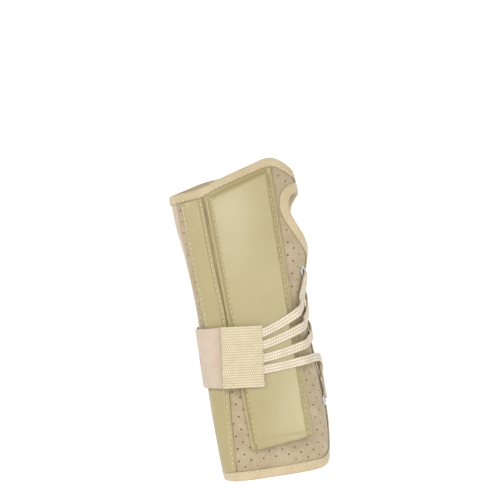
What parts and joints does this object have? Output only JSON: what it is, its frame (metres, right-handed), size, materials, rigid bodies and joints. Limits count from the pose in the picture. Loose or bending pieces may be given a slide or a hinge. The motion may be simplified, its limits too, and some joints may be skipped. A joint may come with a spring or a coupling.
{
  "type": "wrist splint",
  "caption": "Lace-up fabric wrist splint: curved sleeve with thumb hole, palmar stay pocket, laced thumb-side slit, pull tab and wrap-round strap.",
  "frame": {"origin": "centre of the forearm opening, level with the hem", "axes": "+Z along the forearm towards the fingers, -Y out of the palm side, +X towards the thumb side"},
  "size_m": [0.0831, 0.0633, 0.2032],
  "materials": {
    "perforated_fabric": "matte perforated laminate",
    "smooth_fabric": "matte brushed knit",
    "leatherette": "semi-gloss grained leatherette",
    "edge_tape": "matte woven binding",
    "lace": "matte flat braid",
    "webbing": "matte ribbed webbing",
    "elastic": "brushed elastic",
    "hook_tape": "matte moulded hooks",
    "loop_tape": "brushed loops",
    "lining": "matte cotton",
    "stay_aluminium": "satin",
    "stay_steel": "satin",
    "eyelet_metal": "polished nickel"
  },
  "bodies": {
    "sleeve": {"distal_tape": "edge_tape", "dorsal_panel": "perforated_fabric", "dorsal_pocket_cover": "leatherette", "dorsal_stay": "stay_steel", "hem_tape": "edge_tape", "loop_patch": "loop_tape", "lower_inner_crossing": "lace", "lower_lace_crossing": "lace", "lower_lace_run": "lace", "middle_lace_crossing": "lace", "palmar_eyelet_washers": "eyelet_metal", "palmar_eyelets": "eyelet_metal", "palmar_panel": "perforated_fabric", "palmar_pocket_cover": "leatherette", "palmar_pocket_lining": "lining", "slit_tape": "edge_tape", "thumb_tape": "edge_tape", "ulnar_gusset": "smooth_fabric", "ulnar_pocket_cover": "leatherette", "ulnar_stay": "stay_steel", "upper_inner_crossing": "lace", "upper_lace_crossing": "lace", "upper_lace_run": "lace", "web_panel": "perforated_fabric"},
    "flap": {"radial_flap": "perforated_fabric", "flap_tape": "edge_tape", "flap_eyelets": "eyelet_metal", "flap_eyelet_washers": "eyelet_metal", "flap_inner_run": "lace"},
    "tab": {"pull_tab_backing": "webbing", "pull_tab_webbing": "webbing", "strap_palm_section": "elastic", "fan_strand_1": "lace", "fan_strand_2": "lace", "fan_strand_3": "lace", "fan_strand_4": "lace"},
    "strap_wrap": {"strap_side_section": "elastic"},
    "strap_end": {"strap_back_section": "elastic", "hook_patch": "hook_tape"},
    "palmar_stay": {"palmar_stay": "stay_aluminium"}
  },
  "joints": [
    {"name": "strap_peel", "type": "hinge", "parent": "strap_wrap", "child": "strap_end", "pos_m": [-0.03667, 0.00483, 0.07915], "axis": [0.032, 0.026, 0.9991], "range_deg": [0, 90]},
    {"name": "strap_unwrap", "type": "hinge", "parent": "tab", "child": "strap_wrap", "pos_m": [-0.03634, -0.02197, 0.07767], "axis": [0.016, 0.028, 0.9995], "range_deg": [0, 54]},
    {"name": "tab_lift", "type": "hinge", "parent": "sleeve", "child": "tab", "pos_m": [0.0284, -0.03277, 0.07541], "axis": [0, 0.052, 0.9986], "range_deg": [0, 15.3]},
    {"name": "flap_open", "type": "hinge", "parent": "sleeve", "child": "flap", "pos_m": [0.01203, 0.02135, 0.06413], "axis": [0, -0.071, 0.9975], "range_deg": [0, 20], "deforming": ["upper_lace_crossing", "middle_lace_crossing", "lower_lace_crossing", "lower_lace_run", "upper_inner_crossing", "lower_inner_crossing"]},
    {"name": "palmar_stay_slide", "type": "hinge", "parent": "sleeve", "child": "palmar_stay", "pos_m": [0, 0.6719, 0.03844], "axis": [1, 0, 0], "range_deg": [0, 13.4]}
  ],
  "couplings": [
    {"joint": "strap_unwrap", "follows": "strap_peel", "ratio": 0.6},
    {"joint": "tab_lift", "follows": "strap_peel", "ratio": 0.17}
  ]
}
